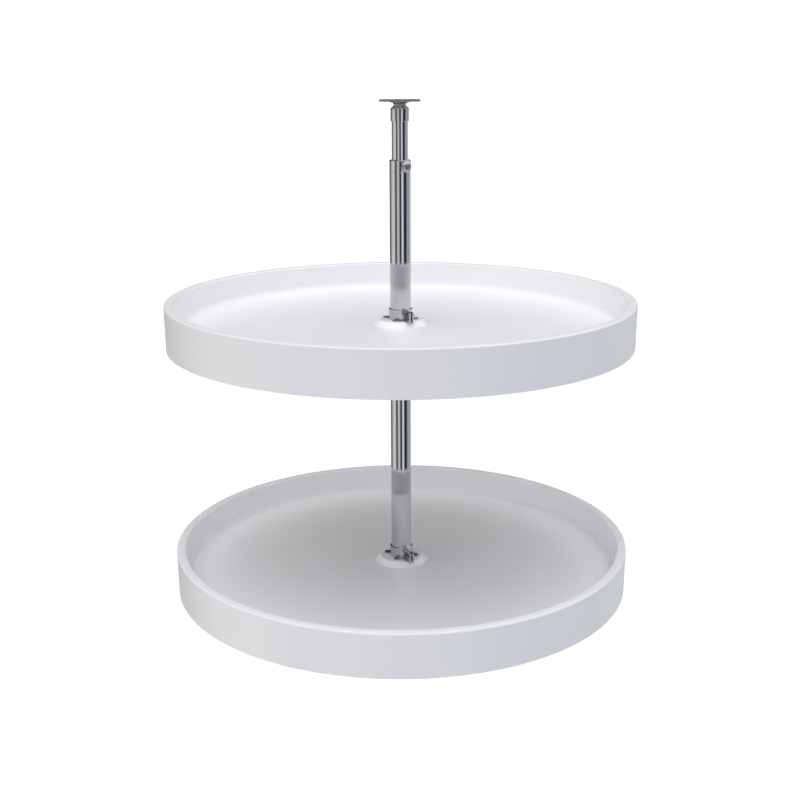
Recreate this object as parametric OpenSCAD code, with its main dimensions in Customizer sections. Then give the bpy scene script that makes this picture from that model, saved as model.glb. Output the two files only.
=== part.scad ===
// Two-tier revolving cabinet shelf set: two full-circle moulded trays clamped to a telescoping
// post that turns between a base plate and a top plate.
// Millimetres. +Z is up, and the origin is the centre of the base plate's underside.
// The trays are clamped to the outer tube, so both turn with the post.

/* [Trays] */
// Outer diameter of each tray, at the rim
tray_d = 711.2; // [560:0.1:860]
// Height of each tray, from its lower edge to the top of its rim
tray_h = 66.8; // [54:0.1:84]
// Wall thickness of the tray moulding
tray_wall = 3; // [2.4:0.1:4]
// Width of the hollow rim, from its outer skirt to the inside of the tray
rim_w = 14.6; // [12:0.1:20]
// Radius on the two upper edges of the rim
rim_edge_r = 3; // [1.5:0.1:4]
// How far the skirt leans in towards its lower edge
skirt_draft = 0.6; // [0:0.1:2]
// Height of the tray floor's upper face above the tray's lower edge
floor_up = 25; // [20:0.1:32]
// Radius between the floor and the inside wall
floor_fillet_r = 9; // [4:0.5:14]
// Height of the underside of the lower tray above the base plate's underside
lower_z = 20; // [18:0.1:40]
// Height from one tray to the next
tier_pitch = 387.3; // [300:0.1:470]

/* [Tray underside] */
// Number of radial ribs under each floor, and of webs in each rim
rib_count = 12; // [8:4:16]
// Thickness of a rib or web
rib_t = 2.4; // [1.6:0.1:3]
// Depth of the ribs below the floor
rib_drop = 8; // [4:0.5:10]
// Height of the rim's webs above the tray's lower edge
web_up = 12; // [4:0.5:16]
// Depth of the hub sleeve below the floor
hub_drop = 13; // [8:0.5:16]

/* [Hub clamp] */
// Height of the boss that the clamp stands on, above the floor
boss_h = 8; // [5:0.1:12]
// Width of the boss's top outside the lugs
boss_rim = 5.1; // [3:0.1:8]
// How far the boss slopes outwards from its top to the floor
boss_slope = 8; // [4:0.1:16]
// Sheet thickness of the clamp
clamp_t = 2; // [1.5:0.1:3]
// Height of the clamp's sleeve
sleeve_h = 16.2; // [15:0.1:30]
// Direction that the clamp's ears point in, in degrees from +X
ear_az = 293; // [0:1:359]
// Reach of the ears beyond the sleeve
ear_len = 24.5; // [19:0.1:28]
// Gap between the two ears, and width of the sleeve's slit
ear_gap = 2.6; // [2:0.1:5]
// Half width of the ears' feet where they leave the sleeve
foot_half_w = 7.5; // [6:0.1:10]
// Direction of the first lug, in degrees from +X
lug_az = 343; // [0:1:359]
// Reach of the lugs beyond the sleeve
lug_len = 10; // [9:0.1:15]
// Width of a lug
lug_w = 11.5; // [10.5:0.1:14]
// Diameter of the pinch bolt
pinch_d = 5; // [4:0.5:5.5]
// Distance of the pinch bolt from the sleeve
pinch_off = 12; // [8:0.1:13]
// Height of the pinch bolt above the lugs' underside
pinch_z = 10.6; // [8.5:0.1:11]
// Diameter of the lug screws
lug_screw_d = 4; // [3:0.1:4.5]
// Length of the lug screws, heads included
lug_screw_len = 15; // [12:0.5:18]

/* [Post] */
// Outer diameter of the outer tube
post_d = 31.75; // [26:0.01:38.5]
// Wall of both tubes
tube_wall = 1.2; // [1:0.1:1.6]
// Length of the outer tube
outer_len = 650.6; // [540:0.1:780]
// Wall of the plastic guide between the two tubes
guide_wall = 2.375; // [1.2:0.005:3]
// Length of the guide, and of the slider on the inner tube's lower end
guide_len = 25; // [15:0.5:40]
// Length of the inner tube
inner_len = 300; // [250:1:360]
// Length of inner tube that shows between the collar and the cap
inner_show = 55.4; // [45:0.1:120]
// Height of the locking collar
collar_h = 17.6; // [16.5:0.1:30]
// Depth of the spigots that the collar and the foot plug put into the tube
spigot_len = 8; // [5:0.5:14]
// Direction that the lock screw points in, in degrees from +X
lock_az = 298; // [0:1:359]
// Diameter of the lock screw's thread
lock_d = 6; // [4:0.5:7.2]
// Diameter of the boss around the lock screw
lock_boss_d = 14; // [11.5:0.1:16]
// How far that boss stands out of the collar
lock_boss_proud = 2.4; // [1:0.1:4]
// Height of the collar's lower edge below that boss
lock_land = 1.8; // [0.4:0.1:2]

/* [Cap and pivots] */
// Wall of the cap around the inner tube
cap_wall = 1.55; // [0.8:0.05:2]
// Height of the cap
cap_h = 22.6; // [20:0.1:30]
// Height of the chamfer at the top of the cap
cap_chamfer = 4.3; // [2:0.1:5]
// Thickness of the cap's top, above the end of the inner tube
cap_top_t = 5.8; // [4:0.1:8]
// Diameter of both pivot pins
pin_d = 12; // [9:0.1:14.4]
// Length of both pivot pins
pin_len = 22; // [20:0.1:28]
// Width of the shoulder around both pivot pins, which their necks bear on
pin_shoulder = 3.2; // [2.5:0.1:4]
// Wall of the plastic bush around the top pin
bush_wall = 1.4; // [1:0.1:1.8]
// Length of the bush below its flange
bush_len = 12.8; // [9:0.1:14]
// Thickness of the bush's flange and of the base thrust washer
bush_flange = 1; // [0.8:0.1:2]
// Height of the pivots' straight necks
neck_h = 1.2; // [1:0.1:6]
// Height of the pivots' flares
flare_h = 3.7; // [3:0.1:8]
// Diameter of the flares where they meet the plates
flare_d = 33.5; // [28:0.1:40]
// Thickness of the foot plug's flange
plug_flange = 3; // [2:0.1:5]

/* [Plates] */
// Width of both square mounting plates
plate_w = 60; // [50:0.1:76]
// Thickness of both plates
plate_t = 2.5; // [2:0.1:4]
// Corner radius of both plates
plate_corner_r = 7; // [3:0.5:8]
// Distance from a plate's edge to its screw holes
hole_inset = 8; // [6.5:0.1:10]
// Diameter of the plates' screw holes
hole_d = 5; // [3.5:0.1:6]

/* [Hidden] */
$fn = 96;
// Radial gap of a part that turns or slides on another
run_gap = 0.05;
// Radial gap of a part that is pressed, screwed or pinched onto another
fit_gap = 0.05;
// Radial gap between the tray's hub and the post
hub_gap = 0.3;
// Gap between faces that pass each other, or that a screw would close
face_gap = 0.15;
// Extra depth of a cut past the face that it opens
cut = 1;

// Retaining clip and its groove in the top pin
groove_deep = 1;
clip_t = 1.2;
clip_w = 2.4;
clip_mouth = pin_d * 0.7;
pin_chamfer = 1;
flare_lip = 0.6;

// Radii about the post's axis
post_r = post_d / 2;
outer_bore_r = post_r - tube_wall;
guide_bore_r = outer_bore_r - fit_gap - guide_wall;
inner_r = guide_bore_r - run_gap;
inner_bore_r = inner_r - tube_wall;
pin_r = pin_d / 2;
bush_r = pin_r + run_gap + bush_wall;
neck_r = pin_r + pin_shoulder;
rivet_r = pin_r - groove_deep;
cap_r = inner_r + fit_gap + cap_wall;
cap_top_r = neck_r - 0.2;

// Heights up the post, from the base plate's underside
base_neck_z = plate_t + flare_h + neck_h;
plug_z = base_neck_z + bush_flange;
outer_z = plug_z + plug_flange;
collar_z = outer_z + outer_len;
lock_z = collar_z + lock_boss_d / 2 + lock_land;
collar_top_z = collar_z + collar_h;
cap_z = collar_top_z + inner_show;
cap_top_z = cap_z + cap_h;
inner_top_z = cap_top_z - cap_top_t;
top_neck_z = cap_top_z + bush_flange;
top_plate_z = top_neck_z + neck_h + flare_h;
bush_low_z = cap_top_z - bush_len;
clip_z = bush_low_z - face_gap - clip_t;

// Lock screw, measured outwards from the post's axis
lock_boss_reach = post_r + lock_boss_proud;
lock_head_r = 8.5;
lock_head_h = 4.2;
lock_dome_h = 2.4;
lock_dome_r = 4.6;
head_chamfer = 0.8;
lock_socket_af = 3;
lock_socket_deep = 1.8;

// Tray section, with heights from the tray's lower edge
tray_r = tray_d / 2;
wall_r = tray_r - rim_w;
floor_t = tray_wall;
floor_low = floor_up - floor_t;
boss_top = floor_up + boss_h;
hub_r = post_r + hub_gap;
hub_low = floor_low - hub_drop;
upper_z = lower_z + tier_pitch;

// Clamp, measured outwards from the post's axis
clamp_r = post_r + fit_gap;
sleeve_r = clamp_r + clamp_t;
ear_reach = sleeve_r + ear_len;
ear_round = 4;
ear_step = 0.6;
ear_shoulder = sleeve_h - ear_step - ear_round;
pinch_x = sleeve_r + pinch_off;
pinch_af = pinch_d + 3;
pinch_head_h = 3.5;
pinch_nut_h = 4;
pinch_tail = 2;
ear_face = ear_gap / 2 + clamp_t;
foot_start_r = sleeve_r - clamp_t * 0.3;
lug_reach = sleeve_r + lug_len;
lug_corner_r = 5;
lug_screw_x = sleeve_r + lug_len * 0.46;
lug_count = 4;
lug_head_h = 1.8;
lug_head_r = lug_screw_d / 2 + lug_head_h;
lug_point_h = 2;
lug_slot = 0.9;
lug_slot_deep = 1.1;
screw_post_r = lug_screw_d / 2 + 2.6;
boss_top_r = lug_reach + boss_rim;
boss_r = boss_top_r + boss_slope;

// Ring or tube around the Z axis, standing on z = 0.
module ring(outer, inner, h) {
    difference() {
        cylinder(r = outer, h = h);
        translate([0, 0, -cut]) cylinder(r = inner, h = h + 2 * cut);
    }
}

// Rectangle with round corners, centred on the origin.
module round_rect(w, d, r) {
    square([w - 2 * r, d], center = true);
    square([w, d - 2 * r], center = true);
    for (x = [-1, 1], y = [-1, 1])
        translate([x * (w / 2 - r), y * (d / 2 - r)]) circle(r = r);
}

// Quarter of a disc of radius r, in the quadrant that starts at angle a.
module quarter_disc(r, a) {
    intersection() {
        circle(r = r);
        rotate([0, 0, a]) square(r);
    }
}

// Children once on each lug, turned so that +X points out along it.
module at_lugs() {
    for (i = [0:lug_count - 1])
        rotate([0, 0, lug_az + i * 360 / lug_count]) children();
}

// ---- Mounting plates and pivots ----

// Square plate with four screw holes and a hole for the pivot's rivet.
module plate() {
    linear_extrude(plate_t) difference() {
        round_rect(plate_w, plate_w, plate_corner_r);
        circle(r = rivet_r + fit_gap);
        for (x = [-1, 1], y = [-1, 1])
            translate([x, y] * (plate_w / 2 - hole_inset)) circle(d = hole_d);
    }
}

// Flared stud riveted through a plate that lies on z = 0 to plate_t, with its pin upwards.
module pivot(groove_z = -1) {
    pin_end = plate_t + flare_h + neck_h + pin_len;
    difference() {
        rotate_extrude() polygon([
            [0, 0],
            [rivet_r, 0],
            [rivet_r, plate_t],
            [flare_d / 2, plate_t],
            [flare_d / 2, plate_t + flare_lip],
            [neck_r, plate_t + flare_h],
            [neck_r, plate_t + flare_h + neck_h],
            [pin_r, plate_t + flare_h + neck_h],
            [pin_r, pin_end - pin_chamfer],
            [pin_r - pin_chamfer, pin_end],
            [0, pin_end]
        ]);
        if (groove_z > 0)
            translate([0, 0, groove_z])
                ring(pin_r + cut, pin_r - groove_deep, clip_t + 2 * fit_gap);
    }
}

module base_plate() {
    color("silver") plate();
}

module base_pivot() {
    color("silver") pivot();
}

module base_thrust_washer() {
    color("whitesmoke") translate([0, 0, base_neck_z])
        ring(neck_r, pin_r + run_gap, bush_flange);
}

// Turns the children over, so that what stood on z = 0 hangs from the top of the plate.
module hang_from_top() {
    translate([0, 0, top_plate_z + plate_t]) mirror([0, 0, 1]) children();
}

module top_plate() {
    color("silver") hang_from_top() plate();
}

module top_pivot() {
    clip_from_top = top_plate_z + plate_t - clip_z - clip_t;
    color("silver") hang_from_top() pivot(clip_from_top - fit_gap);
}

// Open ring that snaps into the pin's groove below the bush.
module pivot_clip() {
    color("dimgray") translate([0, 0, clip_z]) difference() {
        ring(pin_r + clip_w, pin_r - groove_deep + fit_gap, clip_t);
        translate([0, -clip_mouth / 2, -cut]) cube([pin_d, clip_mouth, clip_t + 2 * cut]);
    }
}

// ---- Post ----

// Plug in the lower end of the outer tube, with the bore that turns on the base pin.
module foot_plug() {
    color("gainsboro") translate([0, 0, plug_z]) difference() {
        union() {
            cylinder(r = post_r, h = plug_flange);
            cylinder(r = outer_bore_r - fit_gap, h = plug_flange + spigot_len * 2);
        }
        translate([0, 0, -cut]) cylinder(r = pin_r + run_gap, h = pin_len + spigot_len + cut);
    }
}

module outer_tube() {
    color("lightsteelblue") translate([0, 0, outer_z]) ring(post_r, outer_bore_r, outer_len);
}

module guide_bush() {
    color("dimgray") translate([0, 0, collar_z - spigot_len - guide_len])
        ring(outer_bore_r - fit_gap, guide_bore_r, guide_len);
}

// Collar on the outer tube's upper end, with a tapped boss for the lock screw.
module locking_collar() {
    color("lightsteelblue") difference() {
        union() {
            translate([0, 0, collar_z]) cylinder(r = post_r, h = collar_h);
            translate([0, 0, collar_z - spigot_len])
                cylinder(r = outer_bore_r - fit_gap, h = spigot_len + cut);
            on_lock_axis() cylinder(d = lock_boss_d, h = lock_boss_reach);
        }
        translate([0, 0, collar_z - spigot_len - cut])
            cylinder(r = guide_bore_r, h = spigot_len + collar_h + 2 * cut);
        on_lock_axis() cylinder(r = lock_d / 2 + fit_gap, h = lock_boss_reach + cut);
    }
}

// Children with +Z turned to point out from the post's axis along the lock screw.
module on_lock_axis() {
    translate([0, 0, lock_z]) rotate([0, 90, lock_az]) children();
}

// Round-headed screw with a hexagon socket, whose tip bears on the inner tube.
module lock_screw() {
    head_x = lock_boss_reach + face_gap;
    color("silver") on_lock_axis() difference() {
        union() {
            translate([0, 0, inner_r + face_gap])
                cylinder(r = lock_d / 2, h = head_x - inner_r - face_gap);
            translate([0, 0, head_x]) cylinder(r = lock_head_r, h = lock_head_h - lock_dome_h);
            translate([0, 0, head_x + lock_head_h - lock_dome_h])
                cylinder(r1 = lock_head_r, r2 = lock_dome_r, h = lock_dome_h);
        }
        translate([0, 0, head_x + lock_head_h - lock_socket_deep])
            cylinder(d = lock_socket_af / cos(30), h = lock_socket_deep + cut, $fn = 6);
    }
}

module inner_tube() {
    color("lightsteelblue") translate([0, 0, inner_top_z - inner_len])
        ring(inner_r, inner_bore_r, inner_len);
}

// Plastic plug on the lower end of the inner tube, sliding in the outer tube.
module tube_slider() {
    color("dimgray") translate([0, 0, inner_top_z - inner_len - guide_len / 2]) difference() {
        union() {
            cylinder(r = outer_bore_r - run_gap, h = guide_len / 2);
            cylinder(r = inner_bore_r - fit_gap, h = guide_len);
        }
        translate([0, 0, -cut])
            cylinder(r = inner_bore_r - fit_gap - guide_wall, h = guide_len + 2 * cut);
    }
}

// Cap over the upper end of the inner tube, with the seat of the top bush.
module top_cap() {
    color("silver") translate([0, 0, cap_z]) difference() {
        rotate_extrude() polygon([
            [0, 0],
            [cap_r, 0],
            [cap_r, cap_h - cap_chamfer],
            [cap_top_r, cap_h],
            [0, cap_h]
        ]);
        translate([0, 0, -cut])
            cylinder(r = inner_r + fit_gap, h = inner_top_z - cap_z + cut);
        translate([0, 0, -cut]) cylinder(r = bush_r + fit_gap, h = cap_h + 2 * cut);
    }
}

// Flanged plastic bush in the cap; the pivot's neck bears on its flange.
module top_bush() {
    color("whitesmoke") difference() {
        union() {
            translate([0, 0, bush_low_z]) cylinder(r = bush_r, h = cap_top_z - bush_low_z);
            translate([0, 0, cap_top_z]) cylinder(r = cap_top_r, h = bush_flange);
        }
        translate([0, 0, bush_low_z - cut])
            cylinder(r = pin_r + run_gap, h = top_neck_z - bush_low_z + 2 * cut);
    }
}

// ---- Trays ----

// Half section of the tray, without ribs: skirt, rim, inside wall, floor and hub.
module tray_section() {
    edge_z = tray_h - rim_edge_r;
    polygon([
        [tray_r - skirt_draft - tray_wall, 0],
        [tray_r - skirt_draft, 0],
        [tray_r, edge_z],
        [tray_r - tray_wall, edge_z]
    ]);
    translate([wall_r, floor_low]) square([tray_wall, edge_z - floor_low]);
    translate([wall_r + rim_edge_r, tray_h - tray_wall])
        square([rim_w - 2 * rim_edge_r, tray_wall]);
    rim_corner(tray_r - rim_edge_r, edge_z, 0);
    rim_corner(wall_r + rim_edge_r, edge_z, 90);
    translate([hub_r, floor_low]) square([wall_r + tray_wall - hub_r, floor_t]);
    floor_fillet();
    polygon([
        [hub_r, floor_low],
        [boss_r, floor_low],
        [boss_r, floor_up],
        [boss_top_r, boss_top],
        [hub_r, boss_top]
    ]);
    translate([hub_r, hub_low]) square([tray_wall, hub_drop]);
}

// Rounded upper edge of the rim, centred at (x, z), with a wall inside it.
module rim_corner(x, z, a) {
    translate([x, z]) difference() {
        quarter_disc(rim_edge_r, a);
        if (rim_edge_r > tray_wall) circle(r = rim_edge_r - tray_wall);
    }
}

// Concave corner between the floor and the inside wall.
module floor_fillet() {
    r = floor_fillet_r;
    translate([wall_r - r, floor_up]) difference() {
        square(r + tray_wall / 2);
        translate([0, r]) circle(r = r);
        translate([-cut, r]) square(r + tray_wall + cut);
    }
}

// Room under the boss, between the hub sleeve and the boss's slope.
module boss_hollow() {
    low_r = boss_r - tray_wall - boss_slope * floor_t / (boss_h + floor_t);
    roof = boss_top - floor_t;
    rotate_extrude() polygon([
        [hub_r + tray_wall, floor_low - cut],
        [low_r, floor_low - cut],
        [low_r, floor_low],
        [boss_top_r - tray_wall, roof],
        [hub_r + tray_wall, roof]
    ]);
}

// Radial ribs under the floor, webs inside the hollow rim, and one ring rib.
module tray_ribs() {
    inner_end = hub_r + tray_wall / 2;
    ring_r = (boss_r + wall_r) / 2;
    for (i = [0:rib_count - 1]) rotate([0, 0, (i + 0.5) * 360 / rib_count]) {
        translate([inner_end, -rib_t / 2, floor_low - rib_drop])
            cube([wall_r + tray_wall / 2 - inner_end, rib_t, rib_drop + floor_t / 2]);
        translate([wall_r + tray_wall / 2, -rib_t / 2, web_up])
            cube([rim_w - tray_wall - skirt_draft, rib_t, tray_h - tray_wall / 2 - web_up]);
    }
    translate([0, 0, floor_low - rib_drop])
        ring(ring_r + rib_t / 2, ring_r - rib_t / 2, rib_drop + floor_t / 2);
}

// One tray moulding, with its lower edge at z = 0.
module tray() {
    difference() {
        union() {
            difference() {
                rotate_extrude($fn = 240) tray_section();
                boss_hollow();
            }
            tray_ribs();
            at_lugs() translate([lug_screw_x, 0, hub_low])
                cylinder(r = screw_post_r, h = boss_top - floor_t / 2 - hub_low);
        }
        at_lugs() translate([lug_screw_x, 0, boss_top - lug_screw_len])
            cylinder(r = lug_screw_d / 2 + fit_gap, h = lug_screw_len + cut);
    }
}

// Split sleeve with two ears, their feet and four screwed lugs, standing on z = 0.
module clamp() {
    difference() {
        union() {
            cylinder(r = sleeve_r, h = sleeve_h);
            rotate([0, 0, ear_az]) for (side = [0, 1]) mirror([0, side, 0]) ear();
            at_lugs() lug();
        }
        translate([0, 0, -cut]) cylinder(r = clamp_r, h = sleeve_h + 2 * cut);
        rotate([0, 0, ear_az]) {
            translate([0, -ear_gap / 2, -cut])
                cube([ear_reach + cut, ear_gap, sleeve_h + 2 * cut]);
            translate([pinch_x, 0, pinch_z]) rotate([90, 0, 0])
                cylinder(r = pinch_d / 2 + fit_gap, h = 2 * ear_face + 2 * cut, center = true);
        }
        at_lugs() translate([lug_screw_x, 0, 0]) {
            translate([0, 0, -cut])
                cylinder(r = lug_screw_d / 2 + fit_gap, h = clamp_t + 2 * cut);
            translate([0, 0, clamp_t - lug_head_h])
                cylinder(r1 = lug_screw_d / 2 + fit_gap, r2 = lug_head_r + fit_gap, h = lug_head_h);
        }
    }
}

// One upright ear on the +Y side of the slit, with the triangular foot that stiffens it.
module ear() {
    translate([0, ear_face, 0]) rotate([90, 0, 0]) linear_extrude(clamp_t) {
        polygon([
            [clamp_r + clamp_t / 2, 0],
            [ear_reach, 0],
            [ear_reach, ear_shoulder],
            [ear_reach - ear_round, ear_shoulder + ear_round],
            [clamp_r + clamp_t / 2, ear_shoulder + ear_round]
        ]);
        translate([ear_reach - ear_round, ear_shoulder]) circle(r = ear_round);
    }
    linear_extrude(clamp_t) polygon([
        [clamp_r + clamp_t / 2, ear_gap / 2],
        [ear_reach, ear_gap / 2],
        [ear_reach, ear_face],
        [sqrt(pow(foot_start_r, 2) - pow(foot_half_w, 2)), foot_half_w]
    ]);
}

// One flat lug on the +X side of the sleeve.
module lug() {
    start = clamp_r + clamp_t / 4;
    mid = (start + lug_reach) / 2;
    translate([mid, 0, 0]) linear_extrude(clamp_t)
        round_rect(lug_reach - start, lug_w, lug_corner_r);
}

// Countersunk screws flush with the lugs, as a group of separate solids.
module clamp_screws() {
    tip_z = clamp_t - lug_screw_len;
    at_lugs() translate([lug_screw_x, 0, 0]) difference() {
        union() {
            translate([0, 0, tip_z + lug_point_h])
                cylinder(r = lug_screw_d / 2, h = lug_screw_len - lug_point_h - lug_head_h);
            translate([0, 0, tip_z])
                cylinder(r1 = lug_screw_d / 6, r2 = lug_screw_d / 2, h = lug_point_h);
            translate([0, 0, clamp_t - lug_head_h])
                cylinder(r1 = lug_screw_d / 2, r2 = lug_head_r, h = lug_head_h);
        }
        for (a = [0, 90]) rotate([0, 0, a])
            translate([-lug_screw_d / 2, -lug_slot / 2, clamp_t - lug_slot_deep])
                cube([lug_screw_d, lug_slot, lug_slot_deep + cut]);
    }
}

// Children with +Z along the pinch bolt, from its head's side to its nut's side.
module on_pinch_axis() {
    rotate([0, 0, ear_az]) translate([pinch_x, 0, pinch_z]) rotate([-90, 0, 0]) children();
}

// Hexagon bolt through both ears; its head is on the side nearer the front.
module pinch_bolt() {
    tail = ear_face + pinch_nut_h + pinch_tail;
    on_pinch_axis() {
        translate([0, 0, -ear_face - pinch_head_h])
            cylinder(d = pinch_af / cos(30), h = pinch_head_h, $fn = 6);
        translate([0, 0, -ear_face]) cylinder(r = pinch_d / 2, h = ear_face + tail - head_chamfer);
        translate([0, 0, tail - head_chamfer])
            cylinder(r1 = pinch_d / 2, r2 = pinch_d / 2 - head_chamfer, h = head_chamfer);
    }
}

module pinch_nut() {
    on_pinch_axis() translate([0, 0, ear_face]) difference() {
        cylinder(d = pinch_af / cos(30), h = pinch_nut_h, $fn = 6);
        translate([0, 0, -cut]) cylinder(r = pinch_d / 2 + fit_gap, h = pinch_nut_h + 2 * cut);
    }
}

module lower_tray() {
    color("white") translate([0, 0, lower_z]) tray();
}

module lower_clamp() {
    color("silver") translate([0, 0, lower_z + boss_top]) clamp();
}

module lower_clamp_screws() {
    color("gray") translate([0, 0, lower_z + boss_top]) clamp_screws();
}

module lower_pinch_bolt() {
    color("gray") translate([0, 0, lower_z + boss_top]) pinch_bolt();
}

module lower_pinch_nut() {
    color("gray") translate([0, 0, lower_z + boss_top]) pinch_nut();
}

module upper_tray() {
    color("white") translate([0, 0, upper_z]) tray();
}

module upper_clamp() {
    color("silver") translate([0, 0, upper_z + boss_top]) clamp();
}

module upper_clamp_screws() {
    color("gray") translate([0, 0, upper_z + boss_top]) clamp_screws();
}

module upper_pinch_bolt() {
    color("gray") translate([0, 0, upper_z + boss_top]) pinch_bolt();
}

module upper_pinch_nut() {
    color("gray") translate([0, 0, upper_z + boss_top]) pinch_nut();
}

base_plate();
base_pivot();
base_thrust_washer();
foot_plug();
outer_tube();
guide_bush();
locking_collar();
lock_screw();
inner_tube();
tube_slider();
top_cap();
top_bush();
top_pivot();
pivot_clip();
top_plate();
lower_tray();
lower_clamp();
lower_clamp_screws();
lower_pinch_bolt();
lower_pinch_nut();
upper_tray();
upper_clamp();
upper_clamp_screws();
upper_pinch_bolt();
upper_pinch_nut();
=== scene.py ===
"""Two-tier revolving shelf set on a telescoping chrome post: looks, light and camera.

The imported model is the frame. Each class is one sub-assembly of the set: it
holds its sizes in millimetres, builds the pieces that show, and gives a finish
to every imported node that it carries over.
"""
import logging
import math
from collections.abc import Callable, Iterable, Mapping, Sequence
from dataclasses import dataclass
from enum import Enum

import bmesh
import bpy
from bpy.types import Material, Node, NodeSocket, NodeTree, Object
from mathutils import Matrix, Vector


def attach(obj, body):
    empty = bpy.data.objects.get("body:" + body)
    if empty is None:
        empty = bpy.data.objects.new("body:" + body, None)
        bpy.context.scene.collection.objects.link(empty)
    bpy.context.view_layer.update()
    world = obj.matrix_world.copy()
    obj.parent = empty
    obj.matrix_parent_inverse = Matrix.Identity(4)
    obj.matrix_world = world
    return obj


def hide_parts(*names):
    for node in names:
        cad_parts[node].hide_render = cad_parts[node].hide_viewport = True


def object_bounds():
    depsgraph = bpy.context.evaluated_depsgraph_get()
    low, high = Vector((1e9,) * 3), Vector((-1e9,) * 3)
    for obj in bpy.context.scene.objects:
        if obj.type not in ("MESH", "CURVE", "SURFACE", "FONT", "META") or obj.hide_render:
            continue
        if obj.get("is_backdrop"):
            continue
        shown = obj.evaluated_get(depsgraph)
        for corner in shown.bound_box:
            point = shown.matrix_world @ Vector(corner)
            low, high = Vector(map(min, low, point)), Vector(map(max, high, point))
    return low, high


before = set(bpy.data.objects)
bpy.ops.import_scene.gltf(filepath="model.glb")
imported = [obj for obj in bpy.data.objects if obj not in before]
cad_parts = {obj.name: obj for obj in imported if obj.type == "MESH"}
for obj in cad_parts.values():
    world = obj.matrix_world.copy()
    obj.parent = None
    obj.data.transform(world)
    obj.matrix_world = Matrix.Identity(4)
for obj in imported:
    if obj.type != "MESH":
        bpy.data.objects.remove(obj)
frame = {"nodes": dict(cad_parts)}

Pairs = tuple[tuple[float, float], ...]
Panels = tuple[tuple[float, float, str], ...]
LOG = logging.getLogger("shelf_set")
METRES_PER_MM = 0.001
FULL_TURN = 2 * math.pi
# Points closer than this are one point, in millimetres.
WELD_MM = 0.002
# Faces or corners that would else coincide are set this far apart, in millimetres.
APART_MM = 0.01
# How far a cutting tool or a root reaches past the face that it crosses, in millimetres.
PAST_MM = 1.0
# Turn across each face of a rounding, and the least number of its faces.
ROUND_STEP_DEG = 12
ROUND_LEAST = 3
# Edges that turn by more are rounded, and packed triangles that turn by less are one face.
SHARP_DEG = 28
FLAT_DEG = 0.4
# Edge roundings of turned work, in millimetres, and faces around its small pieces.
FINE_EDGE, KEEN_EDGE, BROKEN_EDGE, SOFT_EDGE = 0.15, 0.2, 0.3, 0.5
SMALL_STEPS = 72
# Hexagon heads and nuts: sides, end circle over flats, and chamfer.
HEX_SIDES = 6
HEX_END_SHARE = 0.95
HEX_CHAMFER_DEG = 30
# Depth of a metric thread over its pitch.
THREAD_DEPTH = 0.54
# Levels between which most of a noise pattern lies.
NOISE_LOW, NOISE_HIGH = 0.3, 0.7


class Body(Enum):
    """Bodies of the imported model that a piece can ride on."""

    BASE = "base"
    POST = "post"
    LOCK_SCREW = "lock_screw"
    INNER_POST = "inner_post"
    TOP_MOUNT = "top_mount"
    LOWER_SHELF = "lower_shelf"
    UPPER_SHELF = "upper_shelf"


class Slot(Enum):
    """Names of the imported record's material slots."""

    TRAY = "tray_white"
    TUBE = "chrome_tube"
    CLAMP = "chrome_clamp"
    SCREW = "chrome_screw"
    SHEET = "plated_sheet"
    FASTENER = "zinc_fastener"
    NYLON = "natural_nylon"


class Blend(Enum):
    """Ways to combine one closed shape with another."""

    ADD = "UNION"
    CUT = "DIFFERENCE"
    KEEP_COMMON = "INTERSECT"


# ---- Small helpers ----


def linear(hex_colour: str) -> tuple[float, float, float, float]:
    """Turns an sRGB hex colour into linear light.

    Args:
        hex_colour: Six hex digits, such as "F2F1EE".

    Returns:
        Linear red, green, blue and an alpha of 1.
    """
    parts = [int(hex_colour[i:i + 2], 16) / 255 for i in (0, 2, 4)]
    light = [p / 12.92 if p <= 0.04045 else ((p + 0.055) / 1.055) ** 2.4 for p in parts]
    return light[0], light[1], light[2], 1.0


def per_metre(feature_mm: float) -> float:
    """Returns the scale on Object coordinates of a pattern with features of a real size."""
    return 1 / (feature_mm * METRES_PER_MM)


def rotation(degrees: float, axis: str) -> Matrix:
    """Returns the matrix of a turn about the axis X, Y or Z."""
    return Matrix.Rotation(math.radians(degrees), 4, axis)


def add_node(
    tree: NodeTree, kind: str, inputs: Mapping[str | int, object] | None = None,
    **settings: object,
) -> Node:
    """Adds a shader node with its settings and links.

    Args:
        tree: Node tree that gets the node.
        kind: Node type, such as "ShaderNodeBump".
        inputs: For each input's name or number, a socket to link or a value to set.
        **settings: Properties of the node itself.

    Returns:
        The new node.
    """
    node = tree.nodes.new(kind)
    for name, value in settings.items():
        setattr(node, name, value)
    for name, value in (inputs or {}).items():
        if isinstance(value, NodeSocket):
            tree.links.new(value, node.inputs[name])
        else:
            node.inputs[name].default_value = value
    return node


def set_stops(
    ramp: bpy.types.ColorRamp, stops: Sequence[tuple[float, Sequence[float]]]
) -> None:
    """Fills a colour ramp.

    Args:
        ramp: The ramp of a Color Ramp node.
        stops: Position from 0 to 1 and linear colour of each stop, in order.
    """
    while len(ramp.elements) > 1:
        ramp.elements.remove(ramp.elements[-1])
    ramp.elements[0].position = stops[0][0]
    ramp.elements[0].color = stops[0][1]
    for place, colour in stops[1:]:
        ramp.elements.new(place).color = colour


def new_material(name: str) -> tuple[Material, NodeTree, Node]:
    """Starts a material with one Principled shader.

    Args:
        name: Name of the material.

    Returns:
        The material, its node tree and its Principled shader.
    """
    material = bpy.data.materials.new(name)
    material.use_nodes = True
    tree = material.node_tree
    tree.nodes.clear()
    shader = add_node(tree, "ShaderNodeBsdfPrincipled")
    add_node(tree, "ShaderNodeOutputMaterial", {"Surface": shader.outputs["BSDF"]})
    return material, tree, shader


# ---- Finishes ----


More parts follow.
